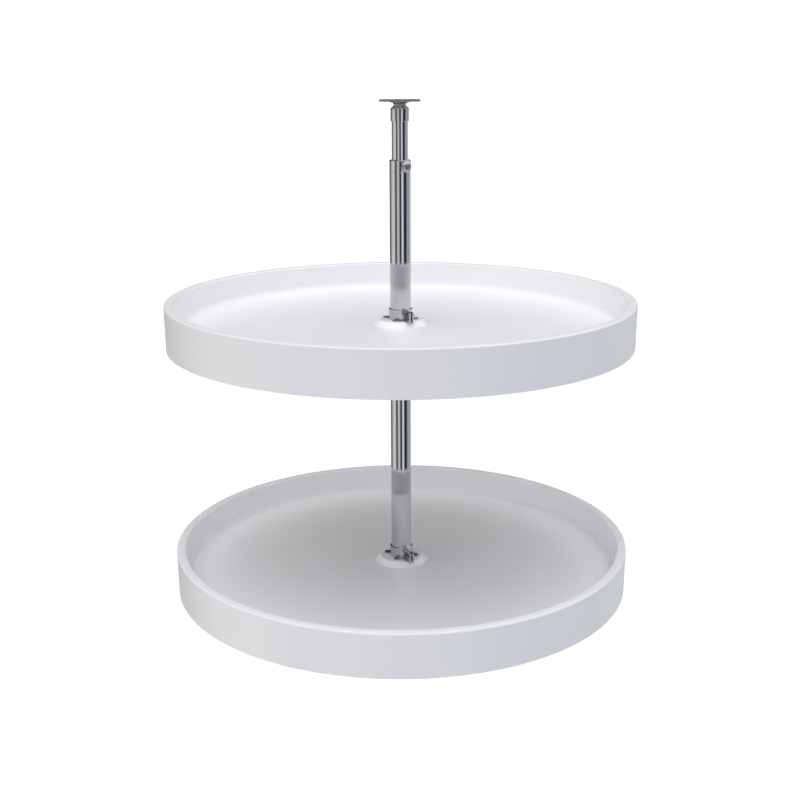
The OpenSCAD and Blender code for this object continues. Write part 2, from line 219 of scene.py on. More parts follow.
@dataclass(frozen=True)
class Finish:
    """Surface whose colour and gloss wander a little, over a fine relief."""

    name: str
    colour: str
    second_colour: str
    roughness: float
    gloss_drift: float

    def dress(
        self, tree: NodeTree, shader: Node, tint_by: Node, gloss_by: Node, relief: Node
    ) -> None:
        """Links the wandering colour and gloss, and the relief, to the shader.

        Args:
            tree: Node tree of the material.
            shader: Its Principled shader.
            tint_by: Noise that the colour follows.
            gloss_by: Noise that the roughness follows.
            relief: Bump that gives the normal.
        """
        tint = add_node(
            tree, "ShaderNodeMix",
            {0: tint_by.outputs["Fac"], 6: linear(self.colour), 7: linear(self.second_colour)},
            data_type="RGBA",
        )
        gloss = add_node(
            tree, "ShaderNodeMapRange",
            {
                "Value": gloss_by.outputs["Fac"],
                "From Min": NOISE_LOW,
                "From Max": NOISE_HIGH,
                "To Min": self.roughness - self.gloss_drift,
                "To Max": self.roughness + self.gloss_drift,
            },
        )
        tree.links.new(tint.outputs[2], shader.inputs["Base Color"])
        tree.links.new(gloss.outputs["Result"], shader.inputs["Roughness"])
        tree.links.new(relief.outputs["Normal"], shader.inputs["Normal"])


@dataclass(frozen=True)
class MouldedPolymer(Finish):
    """Injection-moulded opaque plastic, such as ABS, with a satin mould texture."""

    # How far the gloss wanders where the melt met a cooler mould.
    gloss_drift: float = 0.03
    ior: float = 1.53
    # Real spark-eroded grain is about 0.15 mm, so it is drawn coarser to show.
    grain_mm: float = 1.6
    grain_depth_mm: float = 0.004
    grain_strength: float = 0.6
    # Slow unevenness of a thin moulded wall.
    sag_mm: float = 70.0
    sag_depth_mm: float = 0.05
    sag_strength: float = 0.5
    # Width of a patch of one tint over the width of a sag.
    patch_share: float = 1.8

    def material(self) -> Material:
        """Builds the material.

        Returns:
            The finished material.
        """
        material, tree, shader = new_material(self.name)
        place = add_node(tree, "ShaderNodeTexCoord").outputs["Object"]
        drift, sag, grain = (
            add_node(
                tree, "ShaderNodeTexNoise",
                {"Vector": place, "Scale": per_metre(size_mm), "Detail": detail},
            )
            for size_mm, detail in (
                (self.sag_mm * self.patch_share, 3.0), (self.sag_mm, 1.0), (self.grain_mm, 2.0),
            )
        )
        wave = add_node(
            tree, "ShaderNodeBump",
            {
                "Strength": self.sag_strength,
                "Distance": self.sag_depth_mm * METRES_PER_MM,
                "Height": sag.outputs["Fac"],
            },
        )
        relief = add_node(
            tree, "ShaderNodeBump",
            {
                "Strength": self.grain_strength,
                "Distance": self.grain_depth_mm * METRES_PER_MM,
                "Height": grain.outputs["Fac"],
                "Normal": wave.outputs["Normal"],
            },
        )
        self.dress(tree, shader, drift, drift, relief)
        shader.inputs["IOR"].default_value = self.ior
        return material


@dataclass(frozen=True)
class PlatedMetal(Finish):
    """Electroplated steel, from mirror-bright chromium to satin zinc."""

    # Width of the draw lines or of the crystal patches, drawn coarse enough to show.
    line_mm: float
    # Length of a line over its width: 1 for patches, more along a drawn tube.
    line_stretch: float = 1.0
    relief_mm: float = 0.0006
    relief_strength: float = 0.4
    # Width of a cloud of one tint over the width of a line.
    cloud_share: float = 14.0

    def material(self) -> Material:
        """Builds the material.

        Returns:
            The finished material.
        """
        material, tree, shader = new_material(self.name)
        place = add_node(tree, "ShaderNodeTexCoord").outputs["Object"]
        along = add_node(
            tree, "ShaderNodeMapping",
            {"Vector": place, "Scale": (1.0, 1.0, 1 / self.line_stretch)},
        )
        lines, clouds = (
            add_node(
                tree, "ShaderNodeTexNoise",
                {"Vector": where, "Scale": per_metre(size_mm), "Detail": detail},
            )
            for where, size_mm, detail in (
                (along.outputs["Vector"], self.line_mm, 3.0),
                (place, self.line_mm * self.cloud_share, 2.0),
            )
        )
        relief = add_node(
            tree, "ShaderNodeBump",
            {
                "Strength": self.relief_strength,
                "Distance": self.relief_mm * METRES_PER_MM,
                "Height": lines.outputs["Fac"],
            },
        )
        self.dress(tree, shader, clouds, lines, relief)
        shader.inputs["Metallic"].default_value = 1.0
        return material


class Finishes:
    """The set's finishes, each made once."""

    def __init__(self) -> None:
        """Builds every finish of the set."""
        # A spark-eroded mould leaves white ABS satin: wide soft highlights, no sharp mirror.
        self.tray = MouldedPolymer(
            "White ABS, moulded satin", "F7F7F7", "F5F5F6", roughness=0.36
        ).material()
        # Chromium is a cool mirror that picks up every panel as an upright stripe.
        self.tube = PlatedMetal(
            "Chromium on drawn steel tube", "C4C5C6", "C1C3C5",
            roughness=0.06, gloss_drift=0.012, line_mm=0.9, line_stretch=60.0, relief_mm=0.0001,
        ).material()
        # The press dulls the sheet a little, so edges and bends blur what they mirror.
        self.clamp = PlatedMetal(
            "Chromium on pressed steel", "C2C3C5", "BDBFC2",
            roughness=0.24, gloss_drift=0.03, line_mm=2.4, relief_mm=0.0004,
        ).material()
        # Satin chromium is softer than the tube's: the small screw head reads as a pale disc.
        self.screw = PlatedMetal(
            "Satin chromium on turned steel", "B4B6B8", "A9ABAE",
            roughness=0.31, gloss_drift=0.03, line_mm=1.6, relief_mm=0.0001,
        ).material()
        # Zinc is greyer and duller than chromium, with faint patches of crystals.
        self.sheet = PlatedMetal(
            "Bright zinc on steel sheet", "BCBFC3", "B0B4B9",
            roughness=0.3, gloss_drift=0.02, line_mm=3.0, relief_mm=0.0004,
        ).material()
        # The fasteners are drawn a deep grey, darker than the zinc sheet, with a soft metallic
        # sheen.
        self.fastener = PlatedMetal(
            "Deep grey zinc on cold-headed steel", "787B80", "6B6E73",
            roughness=0.3, gloss_drift=0.05, line_mm=1.8, relief_mm=0.0004,
        ).material()
        # Oil and heat leave spring steel nearly black.
        self.spring = PlatedMetal(
            "Oiled spring steel", "4A4C50", "3D3F44",
            roughness=0.34, gloss_drift=0.06, line_mm=1.0, relief_mm=0.001,
        ).material()
        # Nylon is cream, and a little waxy where it bears.
        self.nylon = MouldedPolymer(
            "Natural nylon, moulded", "E4DECF", "DDD6C4", roughness=0.42,
            grain_mm=0.8, sag_mm=14.0, sag_depth_mm=0.02,
        ).material()
        # Glass-filled nylon is grey and nearly matt, because fibres break its skin.
        self.grey_nylon = MouldedPolymer(
            "Grey nylon, moulded", "8C8F92", "84878B", roughness=0.45,
            grain_mm=0.8, sag_mm=14.0, sag_depth_mm=0.02,
        ).material()
        # Acetal takes a smooth low shine from the lathe.
        self.acetal = MouldedPolymer(
            "Black acetal, turned", "1E1F20", "232425", roughness=0.33, ior=1.48,
            grain_mm=0.6, sag_mm=14.0, sag_depth_mm=0.02,
        ).material()


# ---- Shapes ----


@dataclass(frozen=True)
class Corner:
    """Corner of a turned section: distance from the axis, height and rounding, in mm."""

    r: float
    z: float
    rounding: float = 0.0


class Shape:
    """Closed mesh under construction, in millimetres about the post's axis."""

    def __init__(self, bm: bmesh.types.BMesh | None = None) -> None:
        """Starts from a given mesh or from nothing."""
        self.bm = bm or bmesh.new()

    @classmethod
    def turned(cls, corners: Sequence[Corner], steps: int) -> "Shape":
        """Turns a closed section about Z.

        Args:
            corners: Corners of the section, in order. A solid starts and ends on the axis.
            steps: Faces around.

        Returns:
            The turned shape.
        """
        bm = bmesh.new()
        points = [bm.verts.new((c.r, 0.0, c.z)) for c in corners]
        for first, second in zip(points, points[1:] + points[:1]):
            if first.co.x > 0 or second.co.x > 0:
                bm.edges.new((first, second))
        for index, corner in enumerate(corners):
            if corner.rounding <= 0:
                continue
            here = Vector((corner.r, corner.z))
            before, after = corners[index - 1], corners[(index + 1) % len(corners)]
            inward = (here - Vector((before.r, before.z))).normalized()
            outward = (Vector((after.r, after.z)) - here).normalized()
            turn = inward.angle(outward)
            segments = max(ROUND_LEAST, round(math.degrees(turn) / ROUND_STEP_DEG))
            bmesh.ops.bevel(
                bm, geom=[points[index]], offset=corner.rounding * math.tan(turn / 2),
                offset_type="OFFSET", segments=segments, profile=0.5, affect="VERTICES",
                material=-1, clamp_overlap=False,
            )
        bmesh.ops.spin(
            bm, geom=bm.verts[:] + bm.edges[:], angle=FULL_TURN, steps=steps,
            axis=(0.0, 0.0, 1.0), cent=(0.0, 0.0, 0.0), use_merge=True, use_duplicate=False,
        )
        bmesh.ops.remove_doubles(bm, verts=bm.verts, dist=WELD_MM)
        bmesh.ops.recalc_face_normals(bm, faces=bm.faces)
        return cls(bm)

    @classmethod
    def ring(
        cls, bore_r: float, outer_r: float, low: float, high: float, steps: int,
        bore_edge: float = 0.0, outer_edge: float = 0.0,
    ) -> "Shape":
        """Turns a ring or a tube.

        Args:
            bore_r: Radius of its bore.
            outer_r: Outer radius.
            low: Height of its lower end.
            high: Height of its upper end.
            steps: Faces around.
            bore_edge: Rounding of the bore's edges.
            outer_edge: Rounding of the outer edges.

        Returns:
            The ring.
        """
        return cls.turned(
            [
                Corner(bore_r, low, bore_edge),
                Corner(outer_r, low, outer_edge),
                Corner(outer_r, high, outer_edge),
                Corner(bore_r, high, bore_edge),
            ],
            steps,
        )

    @classmethod
    def rod(cls, radius: float, low: float, high: float, steps: int = 48) -> "Shape":
        """Makes a solid rod or prism along Z.

        Args:
            radius: Radius to its corners.
            low: Height of its lower end.
            high: Height of its upper end.
            steps: Sides.

        Returns:
            The rod.
        """
        bm = bmesh.new()
        bmesh.ops.create_cone(
            bm, cap_ends=True, cap_tris=False, segments=steps,
            radius1=radius, radius2=radius, depth=high - low,
            matrix=Matrix.Translation((0, 0, (low + high) / 2)),
        )
        return cls(bm)

    @classmethod
    def hexagon(cls, across: float, low: float, high: float, both_ends: bool) -> "Shape":
        """Makes a hexagon head or nut, with its corners turned off at 30 degrees.

        Args:
            across: Distance across its flats.
            low: Height of its lower end.
            high: Height of its upper end.
            both_ends: Whether the lower corners are turned off too.

        Returns:
            The hexagon.
        """
        corner_r = across / math.sqrt(3)
        flat_r = across / 2 * HEX_END_SHARE
        fall = (corner_r - flat_r) * math.tan(math.radians(HEX_CHAMFER_DEG))
        blank_low = low + fall if both_ends else low
        blank = cls.turned(
            [
                Corner(0.0, low),
                Corner(flat_r if both_ends else corner_r, low),
                Corner(corner_r, blank_low + APART_MM),
                Corner(corner_r, high - fall),
                Corner(flat_r, high),
                Corner(0.0, high),
            ],
            SMALL_STEPS,
        )
        return cls.rod(corner_r, low, high, HEX_SIDES).combined(blank, Blend.KEEP_COMMON)

    @classmethod
    def bar(cls, low: Sequence[float], high: Sequence[float]) -> "Shape":
        """Makes a box.

        Args:
            low: Its corner with the lowest X, Y and Z.
            high: Its corner with the highest.

        Returns:
            The box.
        """
        bm = bmesh.new()
        middle = (Vector(low) + Vector(high)) / 2
        size = Vector(high) - Vector(low)
        bmesh.ops.create_cube(
            bm, size=1.0, matrix=Matrix.Translation(middle) @ Matrix.Diagonal((*size, 1.0))
        )
        return cls(bm)

    @classmethod
    def from_node(cls, node: Object) -> "Shape":
        """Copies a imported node, with its loose triangles joined into whole faces.

        Args:
            node: Object of the node.

        Returns:
            The joined copy, in millimetres.
        """
        bm = bmesh.new()
        bm.from_mesh(node.data)
        bmesh.ops.scale(bm, vec=Vector((1, 1, 1)) / METRES_PER_MM, verts=bm.verts)
        bmesh.ops.remove_doubles(bm, verts=bm.verts, dist=WELD_MM)
        bmesh.ops.dissolve_limit(
            bm, angle_limit=math.radians(FLAT_DEG), use_dissolve_boundaries=False,
            verts=bm.verts, edges=bm.edges,
        )
        return cls(bm)

    def moved(self, matrix: Matrix) -> "Shape":
        """Moves the shape by a matrix and returns it."""
        bmesh.ops.transform(self.bm, matrix=matrix, verts=self.bm.verts)
        return self

    def softened(self, width: float, beyond_r: float = 0.0) -> "Shape":
        """Rounds the sharp edges.

        Args:
            width: Width of the rounding on each face.
            beyond_r: Distance from the axis from which edges are rounded.

        Returns:
            The same shape.
        """
        limit = math.radians(SHARP_DEG)
        sharp = [
            edge for edge in self.bm.edges
            if edge.is_manifold and edge.calc_face_angle(0.0) > limit
            and min(vert.co.xy.length for vert in edge.verts) > beyond_r
        ]
        bmesh.ops.bevel(
            self.bm, geom=sharp, offset=width, offset_type="OFFSET", segments=2,
            profile=0.5, affect="EDGES", material=-1, clamp_overlap=True, loop_slide=True,
        )
        return self

    def copy(self) -> "Shape":
        """Returns a copy of the shape."""
        return Shape(self.bm.copy())

    def joined(self, others: Iterable["Shape"]) -> "Shape":
        """Takes in other shapes that don't touch this one or each other.

        Args:
            others: The other shapes, which are used up.

        Returns:
            The same shape, with the others in it.
        """
        for other in others:
            mesh = bpy.data.meshes.new("part")
            other.bm.to_mesh(mesh)
            self.bm.from_mesh(mesh)
            bpy.data.meshes.remove(mesh)
            other.bm.free()
        return self

    def combined(self, other: "Shape", blend: Blend) -> "Shape":
        """Adds, cuts or intersects another closed shape.

        Args:
            other: The other shape, which is used up.
            blend: What to do with it.

        Returns:
            The same shape, with the result in it.
        """
        objects = []
        for shape, name in ((self, "work"), (other, "tool")):
            mesh = bpy.data.meshes.new(name)
            shape.bm.to_mesh(mesh)
            shape.bm.free()
            item = bpy.data.objects.new(name, mesh)
            bpy.context.scene.collection.objects.link(item)
            objects.append(item)
        work, tool = objects
        modifier = work.modifiers.new("combine", "BOOLEAN")
        modifier.operation = blend.value
        modifier.solver = "EXACT"
        modifier.object = tool
        bpy.context.view_layer.update()
        graph = bpy.context.evaluated_depsgraph_get()
        result = bmesh.new()
        result.from_mesh(work.evaluated_get(graph).to_mesh())
        for item in objects:
            mesh = item.data
            bpy.data.objects.remove(item)
            bpy.data.meshes.remove(mesh)
        bmesh.ops.remove_doubles(result, verts=result.verts, dist=WELD_MM)
        self.bm = result
        return self

    def piece(
        self, name: str, body: Body, slot: Slot, finish: Material, replaces: Sequence[str],
        smooth_deg: float = 35.0, lift: float = 0.0,
    ) -> None:
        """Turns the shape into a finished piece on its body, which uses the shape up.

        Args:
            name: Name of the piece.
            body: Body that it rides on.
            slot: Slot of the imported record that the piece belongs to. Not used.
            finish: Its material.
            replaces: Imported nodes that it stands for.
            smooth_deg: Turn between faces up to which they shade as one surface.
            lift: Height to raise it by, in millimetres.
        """
        bmesh.ops.translate(self.bm, vec=(0.0, 0.0, lift), verts=self.bm.verts)
        bmesh.ops.scale(self.bm, vec=Vector((1, 1, 1)) * METRES_PER_MM, verts=self.bm.verts)
        mesh = bpy.data.meshes.new(name)
        self.bm.to_mesh(mesh)
        self.bm.free()
        mesh.shade_smooth()
        mesh.set_sharp_from_angle(angle=math.radians(smooth_deg))
        mesh.materials.append(finish)
        item = bpy.data.objects.new(name, mesh)
        bpy.context.scene.collection.objects.link(item)
        weigh = item.modifiers.new("face weighted normals", "WEIGHTED_NORMAL")
        weigh.keep_sharp = True
        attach(item, body.value)
        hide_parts(*replaces)
        LOG.info("%s: %d faces, on %s", name, len(mesh.polygons), body.value)


def thread(radius: float, low: float, high: float, pitch: float) -> list[Corner]:
    """Lists the crests and roots of a screw thread, drawn as rings.

    Args:
        radius: Radius of the crests.
        low: Height of the first crest.
        high: Height that the last root stays below.
        pitch: Distance from crest to crest.

    Returns:
        The corners of the thread's section.
    """
    made = []
    for index in range(int((high - low) / pitch)):
        crest = low + index * pitch
        made += [Corner(radius, crest), Corner(radius - THREAD_DEPTH * pitch, crest + pitch / 2)]
    return made


def dress_node(node: Object, finish: Material) -> None:
    """Gives a carried-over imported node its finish.

    Args:
        node: Object of the node.
        finish: Its material.
    """
    for slot in node.material_slots:
        slot.material = finish
    LOG.info("%s: carried over as %s", node.name, finish.name)


# ---- Sub-assemblies ----


@dataclass
class ShelfTray:
    """One full-circle moulded tray with a hollow rim, a raised hub boss and ribs below."""

    finishes: Finishes
    tier: str
    body: Body
    lift: float
    tray_r: float = 355.6
    height: float = 66.8
    wall: float = 3.0
    rim_w: float = 14.6
    rim_round: float = 3.0
    foot_round: float = 0.9
    hollow_round: float = 0.8
    draft: float = 0.6
    floor_up: float = 25.0
    floor_round: float = 9.0
    boss_r: float = 41.025
    boss_top_r: float = 33.025
    boss_h: float = 8.0
    boss_foot_round: float = 4.0
    boss_top_round: float = 2.0
    boss_hollow_r: float = 35.843
    hub_r: float = 16.175
    hub_low: float = 9.0
    hub_low_round: float = 0.6
    rib_count: int = 12
    rib_t: float = 2.4
    rib_drop: float = 8.0
    web_up: float = 12.0
    # Between the outer end of a rib and the web beyond it.
    web_gap: float = 0.1
    lug_count: int = 4
    lug_az: float = 343.0
    screw_x: float = 22.525
    screw_post_r: float = 4.6
    screw_bore_r: float = 2.05
    screw_len: float = 15.0
    screw_bore_steps: int = 24
    steps: int = 240

    def section(self) -> list[Corner]:
        """Lists the tray's section, once round from the boss's plateau.

        Returns:
            The corners of the section.
        """
        wall_r = self.tray_r - self.rim_w
        floor_low = self.floor_up - self.wall
        boss_top = self.floor_up + self.boss_h
        roof = boss_top - self.wall
        rim_low = self.height - self.wall
        foot_r = self.tray_r - self.draft
        return [
            Corner(self.hub_r, boss_top, SOFT_EDGE),
            Corner(self.boss_top_r, boss_top, self.boss_top_round),
            Corner(self.boss_r, self.floor_up, self.boss_foot_round),
            Corner(wall_r, self.floor_up, self.floor_round),
            Corner(wall_r, self.height, self.rim_round),
            Corner(self.tray_r, self.height, self.rim_round),
            Corner(foot_r, 0.0, self.foot_round),
            Corner(foot_r - self.wall, 0.0, self.foot_round),
            Corner(self.tray_r - self.wall, rim_low),
            Corner(wall_r + self.wall, rim_low),
            Corner(wall_r + self.wall, floor_low, self.hollow_round),
            Corner(self.boss_hollow_r, floor_low),
            Corner(self.boss_top_r - self.wall, roof),
            Corner(self.hub_r + self.wall, roof),
            Corner(self.hub_r + self.wall, self.hub_low, self.hub_low_round),
            Corner(self.hub_r, self.hub_low, self.hub_low_round),
        ]

    def spokes(self) -> list[Shape]:
        """Makes the radial ribs under the floor and the webs in the hollow rim.

        Returns:
            The ribs and webs, each in its place.
        """
        wall_r = self.tray_r - self.rim_w
        floor_low = self.floor_up - self.wall
        half_t = self.rib_t / 2
        made = []
        for index in range(self.rib_count):
            turn = Matrix.Rotation(FULL_TURN * (index + 0.5) / self.rib_count, 4, "Z")
            rib = Shape.bar(
                (self.hub_r + self.wall / 2, -half_t, floor_low - self.rib_drop),
                (wall_r + self.wall / 2, half_t, floor_low + self.wall / 2),
            )
            web = Shape.bar(
                (wall_r + self.wall / 2 + self.web_gap, -half_t, self.web_up),
                (self.tray_r - self.wall / 2 - self.draft, half_t, self.height - self.wall / 2),
            )
            made += [rib.moved(turn), web.moved(turn)]
        return made

    def around_lugs(self, make: Callable[[], Shape]) -> list[Shape]:
        """Places a shape at each of the clamp's lug screws.

        Args:
            make: Function that returns the shape, standing on the axis.

        Returns:
            The shapes, each in its place.
        """
        made = []
        out = Matrix.Translation((self.screw_x, 0, 0))
        for index in range(self.lug_count):
            turn = rotation(self.lug_az + 360 / self.lug_count * index, "Z")
            made.append(make().moved(turn @ out))
        return made

    def shape(self) -> Shape:
        """Builds the whole moulding.

        Returns:
            The tray's shape, standing on Z = 0.
        """
        boss_top = self.floor_up + self.boss_h
        floor_low = self.floor_up - self.wall
        ring_r, half_t = (self.boss_r + self.tray_r - self.rim_w) / 2, self.rib_t / 2
        moulding = Shape.turned(self.section(), self.steps)
        moulding.combined(Shape().joined(self.spokes()), Blend.ADD)
        low, high = floor_low - self.rib_drop - APART_MM, floor_low + self.wall / 2
        ring = Shape.ring(ring_r - half_t, ring_r + half_t, low, high, self.steps // 2)
        moulding.combined(ring, Blend.ADD)
        posts = self.around_lugs(
            lambda: Shape.rod(self.screw_post_r, self.hub_low, boss_top - self.wall / 2)
        )
        for post in posts:
            moulding.combined(post, Blend.ADD)
        bores = self.around_lugs(
            lambda: Shape.rod(
                self.screw_bore_r, boss_top - self.screw_len, boss_top + PAST_MM,
                self.screw_bore_steps,
            )
        )
        return moulding.combined(Shape().joined(bores), Blend.CUT)

    def build(self, moulding: Shape) -> None:
        """Puts a moulding that stands on Z = 0 in its place on the tier's body."""
        moulding.piece(
            f"{self.tier}_tray_moulding", self.body, Slot.TRAY, self.finishes.tray,
            [f"{self.tier}_tray"], smooth_deg=40, lift=self.lift,
        )


@dataclass
class HubClamp:
    """Split sleeve that grips the post above a tray, with its screws, bolt and nut."""

    nodes: Mapping[str, Object]
    finishes: Finishes
    tier: str
    body: Body
    lift: float
    ear_az: float = 293.0
    ear_face: float = 3.3
    edge: float = 0.18
    # Nearer the axis than this the sleeve closes on the post, and keeps its edges.
    grip_r: float = 16.6
    pinch_x: float = 29.925
    pinch_z: float = 10.6
    pinch_r: float = 2.5
    pinch_bore_r: float = 2.55
    pinch_tail: float = 9.3
    pinch_chamfer: float = 0.8
    pinch_steps: int = 48
    pitch: float = 0.8
    # Height of the first crest, and the plain stretch between the thread and the chamfer.
    thread_low: float = -1.0
    thread_gap: float = 0.1
    head_af: float = 8.0
    head_h: float = 3.5
    nut_h: float = 4.0

    def pinch_axis(self) -> Matrix:
        """Returns the place of a shape on Z along the bolt, its Z = 0 at the slit's middle."""
        out = Matrix.Translation((self.pinch_x, 0.0, self.pinch_z))
        return rotation(self.ear_az, "Z") @ out @ rotation(-90, "X")

    def bolt(self) -> Shape:
        """Makes the hexagon bolt, its head on the side nearer the front.

        Returns:
            The bolt along Z.
        """
        head = Shape.hexagon(
            self.head_af, self.ear_face, self.ear_face + self.head_h, both_ends=False
        ).moved(rotation(180, "X"))
        root = -self.ear_face - self.head_h + PAST_MM
        point = self.pinch_tail - self.pinch_chamfer
        shank = Shape.turned(
            [
                Corner(0.0, root),
                Corner(self.pinch_r, root),
                *thread(self.pinch_r, self.thread_low, point - self.thread_gap, self.pitch),
                Corner(self.pinch_r, point),
                Corner(self.pinch_r - self.pinch_chamfer, self.pinch_tail),
                Corner(0.0, self.pinch_tail),
            ],
            self.pinch_steps,
        )
        return head.combined(shank, Blend.ADD)

    def nut(self) -> Shape:
        """Makes the hexagon nut.

        Returns:
            The nut along Z.
        """
        low, high = self.ear_face, self.ear_face + self.nut_h
        nut = Shape.hexagon(self.head_af, low, high, both_ends=True)
        bore = Shape.rod(self.pinch_bore_r, low - PAST_MM, high + PAST_MM)
        return nut.combined(bore, Blend.CUT)

    def build(self) -> None:
        """Builds the clamp, its bolt and its nut, and dresses its lug screws."""
        clamp = f"{self.tier}_clamp"
        Shape.from_node(self.nodes[clamp]).softened(self.edge, beyond_r=self.grip_r).piece(
            f"{clamp}_pressing", self.body, Slot.CLAMP, self.finishes.clamp, [clamp],
            smooth_deg=40,
        )
        for name, shape in (("bolt", self.bolt()), ("nut", self.nut())):
            shape.moved(self.pinch_axis()).piece(
                f"{self.tier}_hex_{name}", self.body, Slot.FASTENER, self.finishes.fastener,
                [f"{self.tier}_pinch_{name}"], smooth_deg=25, lift=self.lift,
            )
        dress_node(self.nodes[f"{self.tier}_clamp_screws"], self.finishes.fastener)


@dataclass
class TelescopingPost:
    """Outer tube, collar with lock screw, inner tube and cap, with their hidden plastics."""

    nodes: Mapping[str, Object]
    finishes: Finishes
    outer_r: float = 15.875
    wall: float = 1.2
    outer_low: float = 11.4
    outer_high: float = 662.0
    outer_edge: float = 0.35
    spigot_r: float = 14.625
    spigot_len: float = 8.0
    # Bore of the collar and of the cap, which the inner tube fits.
    sleeve_bore_r: float = 12.25
    collar_high: float = 679.6
    collar_edge: float = 1.1
    lock_az: float = 298.0
    lock_z: float = 670.8
    lock_r: float = 3.0
    # Between the screw and its bore, and between its head and its seat.
    lock_play: float = 0.05
    lock_gap: float = 0.15
    lock_tip: float = 12.35
    lock_seat: float = 18.275
    lock_boss_r: float = 7.0
    lock_boss_edge: float = 0.6
    # From the collar's bore to the boss's root in the collar's wall.
    lock_boss_clear: float = 1.0
    lock_head_r: float = 8.5
    lock_head_h: float = 4.2
    lock_brow_deep: float = 2.4
    lock_brow_round: float = 1.6
    # The dome within the brow: distance from its middle, depth below its top, and rounding.
    lock_dome: tuple[tuple[float, float, float], ...] = ((6.5, 1.2, 4.0), (3.8, 0.25, 6.0))
    lock_socket_r: float = 1.732
    lock_socket_deep: float = 1.8
    inner_r: float = 12.2
    inner_low: float = 451.8
    inner_high: float = 751.8
    cap_r: float = 13.8
    cap_low: float = 735.0
    cap_low_edge: float = 0.4
    cap_high: float = 757.6
    cap_chamfer: float = 4.3
    cap_chamfer_round: float = 1.2
    cap_top_r: float = 9.0
    bush_bore_r: float = 7.5
    bush_bore_edge: float = 0.1
    steps: int = 192

    def lock_axis(self) -> Matrix:
        """Returns the place of a shape on Z along the screw, its Z = 0 at the post's axis."""
        up = Matrix.Translation((0.0, 0.0, self.lock_z))
        return up @ rotation(self.lock_az, "Z") @ rotation(90, "Y")

    def collar(self) -> Shape:
        """Makes the collar, with its spigot in the outer tube and its tapped boss.

        Returns:
            The collar in its place.
        """
        spigot_low = self.outer_high - self.spigot_len
        ring = Shape.turned(
            [
                Corner(self.sleeve_bore_r, self.collar_high, SOFT_EDGE),
                Corner(self.outer_r, self.collar_high, self.collar_edge),
                Corner(self.outer_r, self.outer_high, BROKEN_EDGE),
                Corner(self.spigot_r, self.outer_high),
                Corner(self.spigot_r, spigot_low, BROKEN_EDGE),
                Corner(self.sleeve_bore_r, spigot_low, BROKEN_EDGE),
            ],
            self.steps,
        )
        root = self.sleeve_bore_r + self.lock_boss_clear
        boss = Shape.turned(
            [
                Corner(0.0, root),
                Corner(self.lock_boss_r, root),
                Corner(self.lock_boss_r, self.lock_seat, self.lock_boss_edge),
                Corner(0.0, self.lock_seat),
            ],
            SMALL_STEPS,
        )
        ring.combined(boss.moved(self.lock_axis()), Blend.ADD)
        bore = Shape.rod(
            self.lock_r + self.lock_play,
            self.sleeve_bore_r - 2 * PAST_MM, self.lock_seat + PAST_MM,
        )
        return ring.combined(bore.moved(self.lock_axis()), Blend.CUT)

    def cap(self) -> Shape:
        """Turns the chamfered cap of the inner tube.

        Returns:
            The cap in its place.
        """
        return Shape.turned(
            [
                Corner(self.sleeve_bore_r, self.cap_low, FINE_EDGE),
                Corner(self.cap_r, self.cap_low, self.cap_low_edge),
                Corner(self.cap_r, self.cap_high - self.cap_chamfer, self.cap_chamfer_round),
                Corner(self.cap_top_r, self.cap_high, SOFT_EDGE),
                Corner(self.bush_bore_r, self.cap_high, self.bush_bore_edge),
                Corner(self.bush_bore_r, self.inner_high),
                Corner(self.sleeve_bore_r, self.inner_high),
            ],
            self.steps,
        )

    def lock_screw(self) -> Shape:
        """Makes the lock screw, with a domed head and a hexagon socket.

        Returns:
            The screw in its place.
        """
        head_low = self.lock_seat + self.lock_gap
        head_high = head_low + self.lock_head_h
        screw = Shape.turned(
            [
                Corner(0.0, self.lock_tip),
                Corner(self.lock_r, self.lock_tip, SOFT_EDGE),
                Corner(self.lock_r, head_low),
                Corner(self.lock_head_r, head_low, BROKEN_EDGE),
                Corner(self.lock_head_r, head_high - self.lock_brow_deep, self.lock_brow_round),
                *(Corner(r, head_high - depth, rounding) for r, depth, rounding in self.lock_dome),
                Corner(0.0, head_high),
            ],
            SMALL_STEPS,
        )
        socket = Shape.rod(
            self.lock_socket_r, head_high - self.lock_socket_deep, head_high + PAST_MM,
            HEX_SIDES,
        )
        return screw.combined(socket, Blend.CUT).moved(self.lock_axis())

    def build(self) -> None:
        """Builds the tubes, cap, collar and lock screw, and dresses the hidden nodes."""
        chromed = (
            ("outer_tube", "drawn", Body.POST, Shape.ring(
                self.outer_r - self.wall, self.outer_r, self.outer_low, self.outer_high,
                self.steps, KEEN_EDGE, self.outer_edge,
            )),
            ("inner_tube", "drawn", Body.INNER_POST, Shape.ring(
                self.inner_r - self.wall, self.inner_r, self.inner_low, self.inner_high,
                self.steps, KEEN_EDGE, BROKEN_EDGE,
            )),
            ("top_cap", "turned", Body.INNER_POST, self.cap()),
            ("locking_collar", "turned", Body.POST, self.collar()),
        )
        for node, made, body, shape in chromed:
            shape.piece(f"{node}_{made}", body, Slot.TUBE, self.finishes.tube, [node])
        self.lock_screw().piece(
            "lock_screw_domed", Body.LOCK_SCREW, Slot.SCREW, self.finishes.screw,
            ["lock_screw"], smooth_deg=30,
        )
        dress_node(self.nodes["foot_plug"], self.finishes.grey_nylon)
        dress_node(self.nodes["guide_bush"], self.finishes.acetal)
        dress_node(self.nodes["tube_slider"], self.finishes.acetal)
        dress_node(self.nodes["top_bush"], self.finishes.nylon)


